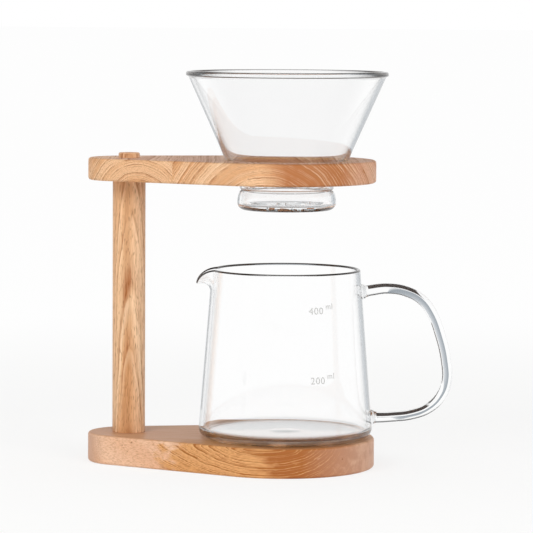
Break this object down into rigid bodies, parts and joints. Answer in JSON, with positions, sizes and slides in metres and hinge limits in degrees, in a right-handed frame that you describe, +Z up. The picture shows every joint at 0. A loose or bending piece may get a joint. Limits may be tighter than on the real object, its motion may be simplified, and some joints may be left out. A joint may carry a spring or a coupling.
{
  "type": "pour-over dripper stand",
  "caption": "Beech pour-over coffee stand: teardrop base and arm on a round post, a clear glass cone dripper hung in the arm, and a clear glass jug with handle and spout below.",
  "frame": {"origin": "on the drip axis, the common axis of the jug and the dripper, at table level on the base board's underside", "axes": "+X from the post towards the drip axis along the boards, +Z up, +Y to the back as the stand is seen with its post on the left"},
  "size_m": [0.2063, 0.113, 0.2213],
  "materials": {
    "beech": "sanded and oiled, satin",
    "clear_glass": "clear, fire-polished",
    "screw_steel": "zinc plated"
  },
  "bodies": {
    "stand": {"base_board": "beech", "post": "beech", "arm_peg": "beech", "base_screw": "screw_steel"},
    "arm": {"arm_board": "beech"},
    "dripper": {"dripper": "clear_glass"},
    "jug": {"jug_body": "clear_glass", "jug_handle": "clear_glass"}
  },
  "joints": [
    {"name": "arm_swivel", "type": "hinge", "parent": "stand", "child": "arm", "pos_m": [-0.0905, 0, 0.1595], "axis": [0, 0, 1], "continuous": true},
    {"name": "dripper_lift", "type": "slide", "parent": "arm", "child": "dripper", "axis": [0, 0, 1], "range_m": [0, 0.08]},
    {"name": "jug_draw", "type": "slide", "parent": "stand", "child": "jug", "axis": [0.9763, 0.2164, 0], "range_m": [0, 0.12]}
  ]
}
